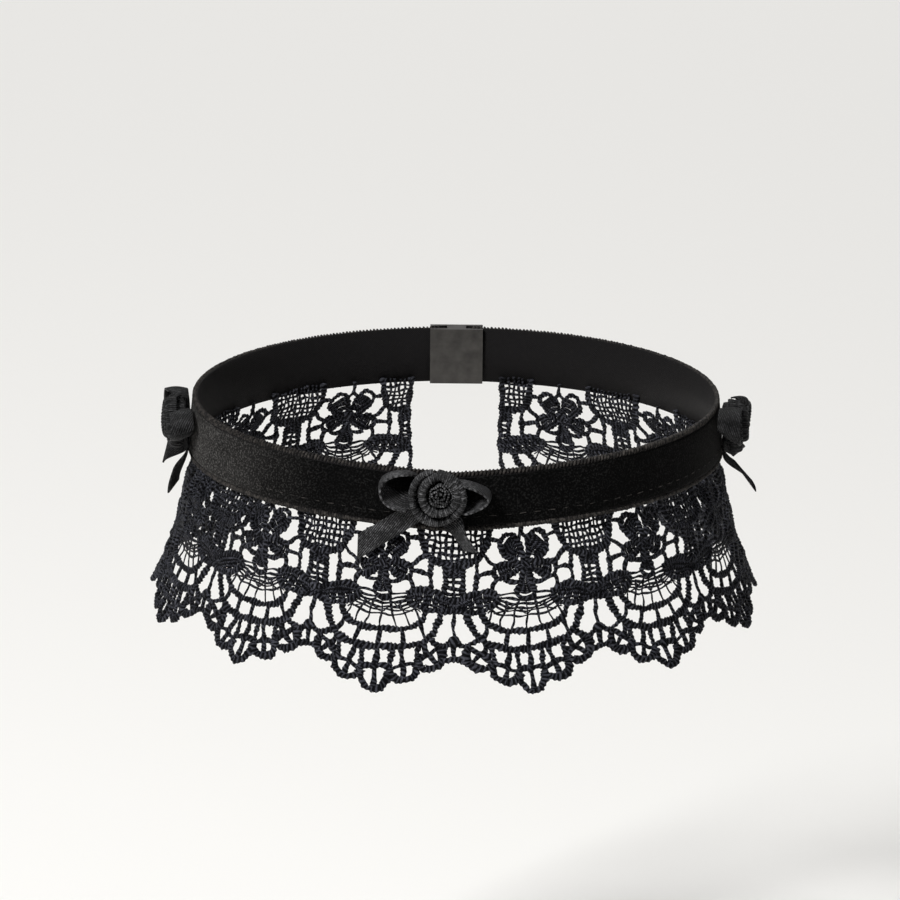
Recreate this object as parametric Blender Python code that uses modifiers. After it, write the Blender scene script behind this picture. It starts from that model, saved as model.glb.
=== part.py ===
# Choker necklace: a velvet ribbon round the neck, a guipure lace edging sewn behind its lower edge,
# three ribbon bows with rolled ribbon roses, and a plain clasp at the back.
# Metres, +Z up. The origin is the middle of the neck opening at half the band's height,
# the front faces -Y. Places on the collar are an arc along the band (0 at the front, + to the
# wearer's left, which is +X), a drop below the band's top edge, and a distance out from its face.

from bisect import bisect_right
from collections import namedtuple
from math import cos, exp, hypot, pi, radians, sin, tan

import bmesh
import bpy
from mathutils import Matrix, Vector
from mathutils.geometry import delaunay_2d_cdt

# Neck opening, to the outer face of the band
NECK_HALF_WIDTH = 0.0579
NECK_HALF_DEPTH = 0.0605
FRONT_DIP = 0.0023
DIP_SPREAD = 0.6

# Velvet band
BAND_HEIGHT = 0.013
BAND_WALL = 0.0013
BAND_LEAN = radians(4.2)
SELVEDGE_HEIGHT = 0.0013
SELVEDGE_STEP = 0.0003
BAND_END_GAP = 0.005
BAND_STATIONS = 110

# Lace edging
LACE_WALL = 0.001
LACE_DROP = 0.0357
LACE_REPEAT = 0.0293
LACE_TUCK = 0.003
LACE_FLARE = radians(27.8)
LACE_SETTLE_START = 0.0012
LACE_SETTLE_END = 0.0065
LACE_BACK_GAP = 0.008
ARC_CENTRE_DOWN = 0.0135
ARC_SQUARENESS = 2.5
INNER_ARC_WIDTH = 0.0096
INNER_ARC_DEPTH = 0.0083
OUTER_ARC_WIDTH = 0.011
OUTER_ARC_DEPTH = 0.012
ARC_CORD = 0.0011
ARC_BAR = 0.001
MESH_SPACING = 0.0041
EDGE_CLEAR = 0.0008

# Bows and roses
RIBBON_WIDTH = 0.005
RIBBON_WALL = 0.001
BOW_DROP = 0.005
FRONT_BOW_ARC = -0.0039
SIDE_BOW_ARC = 0.086
KNOT_RADIUS = 0.0024
KNOT_THICKNESS = 0.0013
LOOP_REACH = 0.0125
LOOP_HALF_HEIGHT = 0.0036
ROSE_RADIUS = 0.0058
ROSE_HEIGHT = 0.0037
ROSE_TURNS = 1.15
ROSE_FOOT_SHARE = 0.75
ROSE_BASE_WALL = 0.001
BUD_RADIUS = 0.0026

# Back clasp
CLASP_LENGTH = 0.012
CLASP_WALL = 0.0009

# Room kept between neighbours
GAP = 0.0003

RING_STEPS = 720
MERGE = 0.00005

# Gaps cut through half a lace repeat: places and sizes are shares of the half repeat (across,
# wide) and of the lace drop (down, tall); lean turns the gap's foot toward the shell's middle
LaceGap = namedtuple("LaceGap", "name across down wide tall lean")
LACE_GAPS = (
    LaceGap("under_band", 0.256, 0.006, 0.435, 0.068, 0),
    LaceGap("beside_petal", 0.428, 0.140, 0.240, 0.134, 8),
    LaceGap("between_shells", 0.842, 0.578, 0.200, 0.182, 17),
)
GAP_SIDES = 8
GAP_SQUARENESS = 3.0

# Lower edge of half a repeat, from the shell's tip to the middle between two shells: where each
# scallop ends and how far it bulges past the straight line, as shares of the same two sizes
Scallop = namedtuple("Scallop", "name across down bulge points")
LACE_TIP = Scallop("tip", 0.0, 1.0, 0.0, 0)
SCALLOPS = (
    Scallop("pointed", 0.178, 0.905, 0.012, 2),
    Scallop("round", 0.520, 0.832, 0.058, 5),
    Scallop("outer", 0.846, 0.776, 0.034, 5),
    Scallop("between", 1.0, 0.756, 0.004, 1),
)

# Upper side of the open web under the clover's lowest petal, in the same shares
WebCorner = namedtuple("WebCorner", "across down")
WEB_CORNERS = (
    WebCorner(0.450, 0.440),
    WebCorner(0.330, 0.398),
    WebCorner(0.190, 0.404),
    WebCorner(0.150, 0.462),
    WebCorner(0.0, 0.482),
)
WEB_SWEEP = radians(56)
ARC_GAP_SWEEP = radians(62)

# Bow loops: reach and height as shares of the loop sizes, lift is the tip's rise per reach
Loop = namedtuple("Loop", "name side reach height lift")
LOOPS = (
    Loop("loop_a", -1, 1.0, 1.0, 0.10),
    Loop("loop_b", 1, 0.87, 0.86, 0.02),
)
LOOP_STEPS = 20
LOOP_START = radians(24)

# Bow tails: the cut end's place as shares of the loop reach, how far out the end hangs in ribbon
# widths, the ribbon's turn toward edge-on, and the slant of the cut in ribbon widths
Tail = namedtuple("Tail", "name across down out turn slant")
TAILS = {
    "front": (
        Tail("tail_a", -1.30, -0.92, -0.10, 0, 0.30),
        Tail("tail_b", 0.64, -0.98, 0.20, 62, 0.12),
    ),
    "left": (
        Tail("tail_a", -0.52, -0.72, 0.50, 20, 0.45),
        Tail("tail_b", 0.46, -1.28, 0.30, 35, 0.30),
    ),
    "right": (
        Tail("tail_a", -0.46, -1.24, 1.10, 8, 0.40),
        Tail("tail_b", 0.52, -0.64, 0.35, 30, 0.20),
    ),
}
TAIL_STEPS = 7

# Where each bow is sewn on the band
Bow = namedtuple("Bow", "name arc")
BOWS = (
    Bow("front", FRONT_BOW_ARC),
    Bow("left", -SIDE_BOW_ARC),
    Bow("right", SIDE_BOW_ARC),
)

VELVET = ("black_velvet", (0.012, 0.011, 0.012), 0.9, 0.0)
LACE = ("black_lace", (0.012, 0.013, 0.017), 0.6, 0.0)
RIBBON = ("black_ribbon", (0.020, 0.020, 0.023), 0.55, 0.0)
METAL = ("dark_metal", (0.22, 0.21, 0.20), 0.35, 1.0)


def ring_arcs():
    """Arc length round the band at even steps of angle, from the front to the back."""
    arcs = [0.0]
    for step in range(RING_STEPS):
        near = pi * step / RING_STEPS
        far = pi * (step + 1) / RING_STEPS
        across = NECK_HALF_WIDTH * (sin(far) - sin(near))
        along = NECK_HALF_DEPTH * (cos(far) - cos(near))
        arcs.append(arcs[-1] + hypot(across, along))
    return arcs


RING_ARCS = ring_arcs()
HALF_LOOP = RING_ARCS[-1]
LACE_SHELLS = 2 * int((HALF_LOOP - LACE_BACK_GAP) / LACE_REPEAT)


def ring_angle(arc):
    """Angle round the neck at an arc length from the front."""
    size = min(abs(arc), HALF_LOOP)
    step = min(bisect_right(RING_ARCS, size) - 1, RING_STEPS - 1)
    share = (size - RING_ARCS[step]) / (RING_ARCS[step + 1] - RING_ARCS[step])
    angle = pi * (step + share) / RING_STEPS
    return angle if arc >= 0 else -angle


def ring_normal(angle):
    return Vector((sin(angle) / NECK_HALF_WIDTH, -cos(angle) / NECK_HALF_DEPTH, 0)).normalized()


def collar_point(arc, drop, out):
    """World place of an arc along the band, a drop below its top edge and a distance out."""
    angle = ring_angle(arc)
    normal = ring_normal(angle)
    on_band = min(drop, BAND_HEIGHT)
    below = max(drop - BAND_HEIGHT, 0.0)
    curl = (LACE_FLARE - BAND_LEAN) / LACE_DROP
    lean = BAND_LEAN + curl * below
    outward = on_band * sin(BAND_LEAN) + (cos(BAND_LEAN) - cos(lean)) / curl
    fall = on_band * cos(BAND_LEAN) + (sin(lean) - sin(BAND_LEAN)) / curl
    dip = FRONT_DIP * exp(-abs(angle) / DIP_SPREAD)
    place = Vector((NECK_HALF_WIDTH * sin(angle), -NECK_HALF_DEPTH * cos(angle), BAND_HEIGHT / 2))
    place += normal * (outward + out * cos(lean))
    place.z += out * sin(lean) - fall - dip
    return place


def seat_matrix(arc, drop):
    """Frame on the band's face: x along the band, -y out from it, z up."""
    angle = ring_angle(arc)
    normal = ring_normal(angle)
    turn = Vector((0, -1, 0)).angle(normal) * (1 if angle >= 0 else -1)
    return Matrix.Translation(collar_point(arc, drop, 0)) @ Matrix.Rotation(turn, 4, "Z")


def material(look):
    name, colour, roughness, metallic = look
    made = bpy.data.materials.get(name) or bpy.data.materials.new(name)
    made.use_nodes = True
    shader = made.node_tree.nodes["Principled BSDF"]
    shader.inputs["Base Color"].default_value = (*colour, 1)
    shader.inputs["Roughness"].default_value = roughness
    shader.inputs["Metallic"].default_value = metallic
    return made


def new_collection(name):
    made = bpy.data.collections.new(name)
    bpy.context.scene.collection.children.link(made)
    return made


def add_object(name, mesh, collection, look, matrix=Matrix()):
    made = bpy.data.objects.new(name, mesh)
    made.matrix_world = matrix
    made.data.materials.append(material(look))
    collection.objects.link(made)
    return made


def add_operand(name, mesh, collection, look, matrix=Matrix()):
    """A shape that only cuts or joins another one."""
    made = add_object(name, mesh, collection, look, matrix)
    made.hide_render = True
    made.display_type = "WIRE"
    return made


def combine(target, operand, operation):
    step = target.modifiers.new(operand.name, "BOOLEAN")
    step.operation = operation
    step.object = operand


def mesh_from(build, name):
    """Mesh made by a function that fills a bmesh."""
    shape = bmesh.new()
    build(shape)
    mesh = bpy.data.meshes.new(name)
    shape.to_mesh(mesh)
    shape.free()
    return mesh


def superellipse(wide, tall, squareness, turn):
    """Point of a rounded box outline at an angle that starts at its foot."""
    across = abs(sin(turn)) ** (2 / squareness) * (1 if sin(turn) >= 0 else -1)
    down = abs(cos(turn)) ** (2 / squareness) * (1 if cos(turn) >= 0 else -1)
    return across * wide, down * tall


def lace_place(across, down):
    """Shares of the half repeat and of the lace drop, as lengths."""
    return Vector((across * LACE_REPEAT / 2, down * LACE_DROP))


def arc_place(wide, deep, turn):
    across, down = superellipse(wide, deep, ARC_SQUARENESS, turn)
    return Vector((across, ARC_CENTRE_DOWN + down))


def evenly(first, last, most):
    """Places from first up to last, without last, no further apart than most."""
    count = max(1, round((last - first).length / most + 0.49))
    return [first.lerp(last, step / count) for step in range(count)]


def gap_outline(gap):
    centre = lace_place(gap.across, gap.down)
    size = lace_place(gap.wide, gap.tall) / 2
    points = []
    for side in range(GAP_SIDES):
        across, down = superellipse(size.x, size.y, GAP_SQUARENESS, 2 * pi * (side + 0.5) / GAP_SIDES)
        points.append(centre + Vector((across - down * tan(radians(gap.lean)), down)))
    return points


def sweep_turns(sweep, steps):
    """Turns along an arc, from the side of the bar in the middle of the shell."""
    first = (ARC_BAR / 2 / INNER_ARC_WIDTH) ** (ARC_SQUARENESS / 2)
    return [first + (sweep - first) * step / steps for step in range(steps + 1)]


def arc_gap_outline():
    """Gap between the two arcs, on one side of the middle bar."""
    turns = sweep_turns(ARC_GAP_SWEEP, 5)
    inner = [arc_place(INNER_ARC_WIDTH + ARC_CORD / 2, INNER_ARC_DEPTH + ARC_CORD / 2, turn) for turn in turns]
    outer = [arc_place(OUTER_ARC_WIDTH - ARC_CORD / 2, OUTER_ARC_DEPTH - ARC_CORD / 2, turn) for turn in turns]
    return inner + outer[::-1]


def web_outline():
    """Half of the open web above the inner arc, on one side of the middle bar."""
    wide = INNER_ARC_WIDTH - ARC_CORD / 2
    deep = INNER_ARC_DEPTH - ARC_CORD / 2
    points = [arc_place(wide, deep, turn) for turn in sweep_turns(WEB_SWEEP, 5)]
    for corner in WEB_CORNERS:
        place = lace_place(corner.across, corner.down)
        points.append(Vector((max(place.x, ARC_BAR / 2), place.y)))
    return points


def lower_edge():
    """Scalloped lower edge, from the shell's tip to the middle between two shells."""
    points = [lace_place(LACE_TIP.across, LACE_TIP.down)]
    for scallop in SCALLOPS:
        start = points[-1]
        end = lace_place(scallop.across, scallop.down)
        side = Vector((start.y - end.y, end.x - start.x)).normalized()
        for step in range(1, scallop.points + 1):
            share = step / (scallop.points + 1)
            points.append(start.lerp(end, share) + side * (scallop.bulge * LACE_DROP * sin(pi * share)))
        points.append(end)
    return points


def half_repeat_outline():
    top_in = Vector((0, -LACE_TUCK))
    top_out = Vector((LACE_REPEAT / 2, -LACE_TUCK))
    low = lower_edge()
    outline = evenly(top_in, top_out, MESH_SPACING)
    outline += evenly(top_out, low[-1], MESH_SPACING)
    outline += low[:0:-1]
    outline += evenly(low[0], top_in, MESH_SPACING)
    return outline


def inside(point, outline):
    """Whether a point lies in a closed outline."""
    within = False
    for first, last in zip(outline, outline[1:] + outline[:1]):
        if (first.y > point.y) != (last.y > point.y):
            cross = first.x + (point.y - first.y) * (last.x - first.x) / (last.y - first.y)
            within ^= point.x < cross
    return within


def edge_distance(point, outline):
    best = LACE_DROP
    for first, last in zip(outline, outline[1:] + outline[:1]):
        run = last - first
        share = min(1.0, max(0.0, (point - first).dot(run) / run.length_squared))
        best = min(best, (first + run * share - point).length)
    return best


def half_repeat_mesh(shape):
    """Flat half repeat with its gaps, x across from the shell's middle, y up from the band's foot."""
    outline = half_repeat_outline()
    gaps = [gap_outline(gap) for gap in LACE_GAPS] + [web_outline(), arc_gap_outline()]
    points = []
    edges = []
    for loop in [outline] + gaps:
        first = len(points)
        points += loop
        edges += [(first + step, first + (step + 1) % len(loop)) for step in range(len(loop))]
    columns = int(LACE_REPEAT / 2 / MESH_SPACING) + 1
    rows = int((LACE_DROP + LACE_TUCK) / MESH_SPACING) + 1
    downs = [LACE_SETTLE_START] + [LACE_DROP * row / rows for row in range(1, rows)]
    for column in range(1, columns):
        for down in downs:
            point = Vector((LACE_REPEAT / 2 * column / columns, down))
            clear = all(edge_distance(point, loop) > EDGE_CLEAR for loop in [outline] + gaps)
            if clear and inside(point, outline) and not any(inside(point, gap) for gap in gaps):
                points.append(point)
    places, _, faces, _, _, _ = delaunay_2d_cdt(points, edges, [], 1, MERGE / 10)
    corners = [shape.verts.new((place.x, -place.y, 0)) for place in places]
    for face in faces:
        middle = sum((places[corner] for corner in face), Vector((0, 0))) / len(face)
        if inside(middle, outline) and not any(inside(middle, gap) for gap in gaps):
            shape.faces.new([corners[corner] for corner in face])
    bmesh.ops.recalc_face_normals(shape, faces=shape.faces)
    if sum(face.normal.z for face in shape.faces) < 0:
        bmesh.ops.reverse_faces(shape, faces=shape.faces)
    loose = [corner for corner in shape.verts if not corner.link_faces]
    bmesh.ops.delete(shape, geom=loose, context="VERTS")


def lace_face(down):
    """How far out the lace's face lies: behind the band, then level with its outer face."""
    return -(BAND_WALL + GAP) * (1 - smooth_share(down, LACE_SETTLE_START, LACE_SETTLE_END))


def make_lace(parts, flats):
    """The edging is laid out flat as one strip of repeats, then bent on to the collar."""
    flat = add_operand("lace_strip_flat", mesh_from(half_repeat_mesh, "lace_half"), flats, LACE)
    mirror = flat.modifiers.new("whole_repeat", "MIRROR")
    mirror.merge_threshold = MERGE
    repeats = flat.modifiers.new("repeats", "ARRAY")
    repeats.count = LACE_SHELLS
    repeats.use_relative_offset = False
    repeats.use_constant_offset = True
    repeats.constant_offset_displace = (LACE_REPEAT, 0, 0)
    repeats.use_merge_vertices = True
    repeats.merge_threshold = MERGE
    wall = flat.modifiers.new("wall", "SOLIDIFY")
    wall.thickness = LACE_WALL
    wall.offset = -1
    bpy.context.view_layer.update()
    evaluated = flat.evaluated_get(bpy.context.evaluated_depsgraph_get())
    mesh = bpy.data.meshes.new_from_object(evaluated)
    first = -LACE_REPEAT * (LACE_SHELLS - 1) / 2
    for corner in mesh.vertices:
        down = -corner.co.y
        out = lace_face(down) + corner.co.z
        corner.co = collar_point(first + corner.co.x, BAND_HEIGHT + down, out)
    mesh.name = "lace_trim"
    made = add_object("lace_trim", mesh, parts, LACE)
    made.data.materials.pop(index=0)
    return made


def loft(shape, sections):
    """Closed body through sections of as many corners each, with flat ends."""
    rings = [[shape.verts.new(place) for place in section] for section in sections]
    for near, far in zip(rings, rings[1:]):
        for side in range(len(near)):
            after = (side + 1) % len(near)
            shape.faces.new((near[side], near[after], far[after], far[side]))
    shape.faces.new(rings[0][::-1])
    shape.faces.new(rings[-1])
    bmesh.ops.recalc_face_normals(shape, faces=shape.faces)


def make_band(parts):
    """Ribbon with a pile field standing above a selvedge at each edge."""
    slope = SELVEDGE_STEP
    profile = (
        (0.0, -BAND_WALL),
        (0.0, -SELVEDGE_STEP),
        (SELVEDGE_HEIGHT, -SELVEDGE_STEP),
        (SELVEDGE_HEIGHT + slope, 0.0),
        (BAND_HEIGHT - SELVEDGE_HEIGHT - slope, 0.0),
        (BAND_HEIGHT - SELVEDGE_HEIGHT, -SELVEDGE_STEP),
        (BAND_HEIGHT, -SELVEDGE_STEP),
        (BAND_HEIGHT, -BAND_WALL),
    )
    reach = HALF_LOOP - BAND_END_GAP / 2
    arcs = [reach * (2 * step / BAND_STATIONS - 1) for step in range(BAND_STATIONS + 1)]
    sections = [[collar_point(arc, drop, out) for drop, out in profile] for arc in arcs]
    mesh = mesh_from(lambda shape: loft(shape, sections), "velvet_band")
    return add_object("velvet_band", mesh, parts, VELVET)


def strip(shape, rows):
    """Open ribbon surface through rows of two edge points."""
    pairs = [[shape.verts.new(place) for place in row] for row in rows]
    for near, far in zip(pairs, pairs[1:]):
        for side in range(len(near) - 1):
            shape.faces.new((near[side], near[side + 1], far[side + 1], far[side]))


def ribbon(name, rows, operands, matrix):
    made = add_operand(name, mesh_from(lambda shape: strip(shape, rows), name), operands, RIBBON, matrix)
    wall = made.modifiers.new("wall", "SOLIDIFY")
    wall.thickness = RIBBON_WALL
    wall.offset = 0
    return made


def turned(radius_back, radius_front, out_back, out_front, sides):
    """Round piece that stands out from the band, from one distance out to another."""
    def build(shape):
        depth = out_front - out_back
        placed = Matrix.Translation((0, -(out_back + out_front) / 2, 0)) @ Matrix.Rotation(pi / 2, 4, "X")
        bmesh.ops.create_cone(
            shape, cap_ends=True, segments=sides, radius1=radius_back, radius2=radius_front,
            depth=depth, matrix=placed)
    return build


def smooth_share(value, low, high):
    share = min(1.0, max(0.0, (value - low) / (high - low)))
    return share * share * (3 - 2 * share)


def loop_rows(loop):
    """The ribbon leaves the knot, turns round at the loop's tip and comes back, edge to the front."""
    reach = LOOP_REACH * loop.reach
    height = LOOP_HALF_HEIGHT * loop.height
    rose_foot = ROSE_RADIUS * ROSE_FOOT_SHARE + RIBBON_WALL / 2
    back = GAP + RIBBON_WALL / 10
    rows = []
    for step in range(LOOP_STEPS + 1):
        turn = LOOP_START + (2 * pi - 2 * LOOP_START) * step / LOOP_STEPS
        along = reach * (1 - cos(turn)) / 2
        rise = loop.lift * along + height * sin(turn) * (0.6 + 0.4 * along / reach)
        spread = smooth_share(along, rose_foot, ROSE_RADIUS + 2 * RIBBON_WALL)
        front = KNOT_THICKNESS + (GAP + RIBBON_WIDTH - KNOT_THICKNESS) * spread
        rows.append((
            Vector((loop.side * along, -back, rise)),
            Vector((loop.side * along, -front, rise))))
    return rows


def tail_rows(tail):
    """The ribbon lies flat behind the rose, then hangs free and turns to its slanted cut end."""
    start = Vector((0, -(GAP + KNOT_THICKNESS) / 2 - GAP / 2, -KNOT_RADIUS / 3))
    end_out = start.y - tail.out * RIBBON_WIDTH
    end = Vector((LOOP_REACH * tail.across, end_out, LOOP_REACH * tail.down))
    along = Vector((end.x - start.x, 0, end.z - start.z)).normalized()
    flat = Vector((-along.z, 0, along.x))
    clear = ROSE_RADIUS / (end - start).length
    rows = []
    for step in range(TAIL_STEPS + 1):
        share = step / TAIL_STEPS
        free = smooth_share(share, clear, 1.0)
        centre = start.lerp(end, share)
        centre.y = start.y + (end.y - start.y) * free
        width = RIBBON_WIDTH * (0.5 + 0.5 * smooth_share(share, 0.0, clear))
        turn = radians(tail.turn) * smooth_share(share, clear * 0.8, min(1.0, clear * 1.6))
        half = (flat * cos(turn) + Vector((0, -1, 0)) * sin(turn)) * (width / 2)
        centre.y -= width / 2 * sin(turn)
        cut = along * (tail.slant * RIBBON_WIDTH * share)
        rows.append((centre - half - cut, centre + half + cut))
    return rows


def make_bow(bow, parts, operands):
    """Two loops and two tails, pinched and sewn together at a flat knot on the band."""
    matrix = seat_matrix(bow.arc, BOW_DROP)
    knot = mesh_from(turned(KNOT_RADIUS, KNOT_RADIUS, GAP, GAP + KNOT_THICKNESS, 16), "knot")
    made = add_object(bow.name + "_bow", knot, parts, RIBBON, matrix)
    for loop in LOOPS:
        piece = ribbon(bow.name + "_" + loop.name, loop_rows(loop), operands, matrix)
        combine(made, piece, "UNION")
    for tail in TAILS[bow.name]:
        piece = ribbon(bow.name + "_" + tail.name, tail_rows(tail), operands, matrix)
        combine(made, piece, "UNION")
    return made


def petal_rows(foot_out):
    """Wall of rolled ribbon that winds round the bud and opens toward its rim."""
    inner = BUD_RADIUS + GAP + RIBBON_WALL / 2
    outer = ROSE_RADIUS - RIBBON_WALL / 2
    count = round(ROSE_TURNS * 20)
    rows = []
    for step in range(count + 1):
        share = step / count
        angle = 2 * pi * ROSE_TURNS * share - pi / 3
        radius = inner + (outer - inner) * share
        rim_out = foot_out + ROSE_HEIGHT * (1 - 0.15 * share)
        foot = radius * ROSE_FOOT_SHARE
        rows.append((
            Vector((foot * cos(angle), -foot_out, foot * sin(angle))),
            Vector((radius * cos(angle), -rim_out, radius * sin(angle)))))
    return rows


def make_rose(bow, parts, operands):
    """Rolled ribbon rose: a flat base, a tight bud and one wound petal wall."""
    matrix = seat_matrix(bow.arc, BOW_DROP)
    base_back = 2 * GAP + KNOT_THICKNESS
    base_front = base_back + ROSE_BASE_WALL
    foot_radius = (ROSE_RADIUS - RIBBON_WALL / 2) * ROSE_FOOT_SHARE + RIBBON_WALL / 2
    base = mesh_from(turned(foot_radius, foot_radius, base_back, base_front, 24), "rose_base")
    made = add_object(bow.name + "_rose", base, parts, RIBBON, matrix)
    sunk = base_front - ROSE_BASE_WALL / 2
    bud_mesh = mesh_from(
        turned(BUD_RADIUS * ROSE_FOOT_SHARE, BUD_RADIUS, sunk, base_front + ROSE_HEIGHT, 16), "bud")
    bud = add_operand(bow.name + "_bud", bud_mesh, operands, RIBBON, matrix)
    petal = ribbon(bow.name + "_petal", petal_rows(sunk), operands, matrix)
    combine(made, bud, "UNION")
    combine(made, petal, "UNION")
    return made


def box_mesh(name, size):
    def build(shape):
        bmesh.ops.create_cube(shape, size=1, matrix=Matrix.Diagonal((*size, 1)))
    return mesh_from(build, name)


def make_clasp(parts, operands):
    """One plain piece whose two slots hold the ends of the band."""
    lean = Matrix.Rotation(-BAND_LEAN, 4, "X")
    inward = Matrix.Translation((0, BAND_WALL / 2, 0))
    thickness = BAND_WALL + 2 * GAP + 2 * CLASP_WALL
    body = box_mesh("back_clasp", (CLASP_LENGTH, thickness, BAND_HEIGHT))
    made = add_object("back_clasp", body, parts, METAL,
                      seat_matrix(HALF_LOOP, BAND_HEIGHT / 2) @ lean @ inward)
    slot_start = BAND_END_GAP / 2 - GAP
    slot_end = CLASP_LENGTH / 2 + CLASP_WALL
    for side in (-1, 1):
        arc = HALF_LOOP - (slot_start + slot_end) / 2
        slot = box_mesh("slot", (slot_end - slot_start, BAND_WALL + 2 * GAP, BAND_HEIGHT * 1.5))
        cutter = add_operand("clasp_slot", slot, operands, METAL,
                             seat_matrix(side * arc, BAND_HEIGHT / 2) @ lean @ inward)
        combine(made, cutter, "DIFFERENCE")
    return made


def main():
    for leftover in list(bpy.data.objects):
        bpy.data.objects.remove(leftover)
    parts = new_collection("choker_necklace")
    operands = new_collection("cutters")
    make_band(parts)
    make_lace(parts, operands)
    for bow in BOWS:
        make_bow(bow, parts, operands)
        make_rose(bow, parts, operands)
    make_clasp(parts, operands)


main()
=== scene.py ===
# Choker necklace: velvet ribbon, guipure lace edging, ribbon bows with rolled roses, plain clasp
import math
from random import Random

import bmesh
import bpy
import numpy as np
from mathutils import Matrix, Vector


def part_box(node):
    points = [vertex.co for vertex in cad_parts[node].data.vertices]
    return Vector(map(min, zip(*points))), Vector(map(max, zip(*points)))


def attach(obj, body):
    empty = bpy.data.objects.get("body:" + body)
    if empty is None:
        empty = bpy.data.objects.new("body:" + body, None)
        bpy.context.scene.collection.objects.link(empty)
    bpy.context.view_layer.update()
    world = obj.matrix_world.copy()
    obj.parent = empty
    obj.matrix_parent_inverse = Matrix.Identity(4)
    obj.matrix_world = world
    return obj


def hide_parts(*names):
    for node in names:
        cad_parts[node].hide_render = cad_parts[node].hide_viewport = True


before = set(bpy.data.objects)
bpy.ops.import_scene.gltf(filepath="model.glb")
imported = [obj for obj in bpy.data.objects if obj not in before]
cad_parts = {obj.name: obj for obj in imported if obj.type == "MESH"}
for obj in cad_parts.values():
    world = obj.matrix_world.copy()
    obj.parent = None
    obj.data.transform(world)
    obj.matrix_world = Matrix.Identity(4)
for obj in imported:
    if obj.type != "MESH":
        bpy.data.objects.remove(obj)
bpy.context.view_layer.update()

mm = 0.001

# The collar's surface: arc along the band from the front, drop below its top edge, distance out
collar = {
    "bandHeight": 0.013,
    "bandWall": 0.0013,
    "bandLean": math.radians(4.2),
    "laceFlare": math.radians(27.8),
    "laceDrop": 0.0357,
    "frontDip": 0.0023,
    "dipSpread": 0.6,
    "endGap": 0.005,
    "laceSet": 0.0016,
    "settleStart": 0.0012,
    "settleEnd": 0.0065,
}
bandLow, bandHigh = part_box("velvet_band")
bandSpread = (collar["bandHeight"] - 1.6 * mm) * math.sin(collar["bandLean"])
collar["halfWidth"] = bandHigh.x - bandSpread
collar["halfDepth"] = (bandHigh.y - bandLow.y) / 2 - bandSpread
ringAngles = np.linspace(0, math.pi, 1441)
ringSteps = np.hypot(
    np.diff(collar["halfWidth"] * np.sin(ringAngles)),
    np.diff(collar["halfDepth"] * np.cos(ringAngles)))
ringArcs = np.concatenate([[0], np.cumsum(ringSteps)])
halfLoop = float(ringArcs[-1])


def onCollar(across, drop, out):
    angle = np.interp(np.abs(across), ringArcs, ringAngles) * np.sign(across)
    nx = np.sin(angle) / collar["halfWidth"]
    ny = -np.cos(angle) / collar["halfDepth"]
    size = np.hypot(nx, ny)
    nx, ny = nx / size, ny / size
    onBand = np.minimum(drop, collar["bandHeight"])
    below = np.maximum(drop - collar["bandHeight"], 0)
    lean = collar["bandLean"]
    curl = (collar["laceFlare"] - lean) / collar["laceDrop"]
    tilt = lean + curl * below
    outward = onBand * math.sin(lean) + (math.cos(lean) - np.cos(tilt)) / curl + out * np.cos(tilt)
    fall = onBand * math.cos(lean) + (np.sin(tilt) - math.sin(lean)) / curl - out * np.sin(tilt)
    dip = collar["frontDip"] * np.exp(-np.abs(angle) / collar["dipSpread"])
    x = collar["halfWidth"] * np.sin(angle) + nx * outward
    y = -collar["halfDepth"] * np.cos(angle) + ny * outward
    return np.stack([x, y, collar["bandHeight"] / 2 - fall - dip], axis=-1)


def smoothShare(value, low, high):
    share = np.clip((value - low) / (high - low), 0, 1)
    return share * share * (3 - 2 * share)


def readPoints(mesh):
    flat = np.empty(len(mesh.vertices) * 3)
    mesh.vertices.foreach_get("co", flat)
    return flat.reshape(-1, 3)


def writePoints(mesh, places):
    mesh.vertices.foreach_set("co", np.asarray(places).ravel())
    mesh.update()


def addAttribute(mesh, name, values):
    mesh.attributes.new(name, "FLOAT", "POINT").data.foreach_set("value", values)


def meshFrom(name, corners, faces, edges=()):
    mesh = bpy.data.meshes.new(name)
    mesh.from_pydata([tuple(corner) for corner in corners], edges, faces)
    mesh.update()
    return mesh


def meshOf(name, shape):
    mesh = bpy.data.meshes.new(name)
    shape.to_mesh(mesh)
    shape.free()
    return mesh


def faceOutward(mesh):
    shape = bmesh.new()
    shape.from_mesh(mesh)
    bmesh.ops.recalc_face_normals(shape, faces=shape.faces)
    shape.to_mesh(mesh)
    shape.free()
    return mesh


def newObject(name, data):
    made = bpy.data.objects.new(name, data)
    bpy.context.scene.collection.objects.link(made)
    return made


def aim(thing, place, target, roll=0.0):
    thing.location = place
    thing.rotation_mode = "QUATERNION"
    look = (Vector(target) - Vector(place)).to_track_quat("-Z", "Y")
    thing.rotation_quaternion = look @ Matrix.Rotation(roll, 3, "Z").to_quaternion()


def bendLace(mesh):
    # flat lace, x along and y up from the band's foot, goes behind the band and then level with it
    flat = readPoints(mesh)
    down = -flat[:, 1]
    behind = collar["laceSet"] * (1 - smoothShare(down, collar["settleStart"], collar["settleEnd"]))
    writePoints(mesh, onCollar(flat[:, 0], collar["bandHeight"] + down, flat[:, 2] - behind))


def bendBand(mesh):
    flat = readPoints(mesh)
    writePoints(mesh, onCollar(flat[:, 0], -flat[:, 1], flat[:, 2]))


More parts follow.
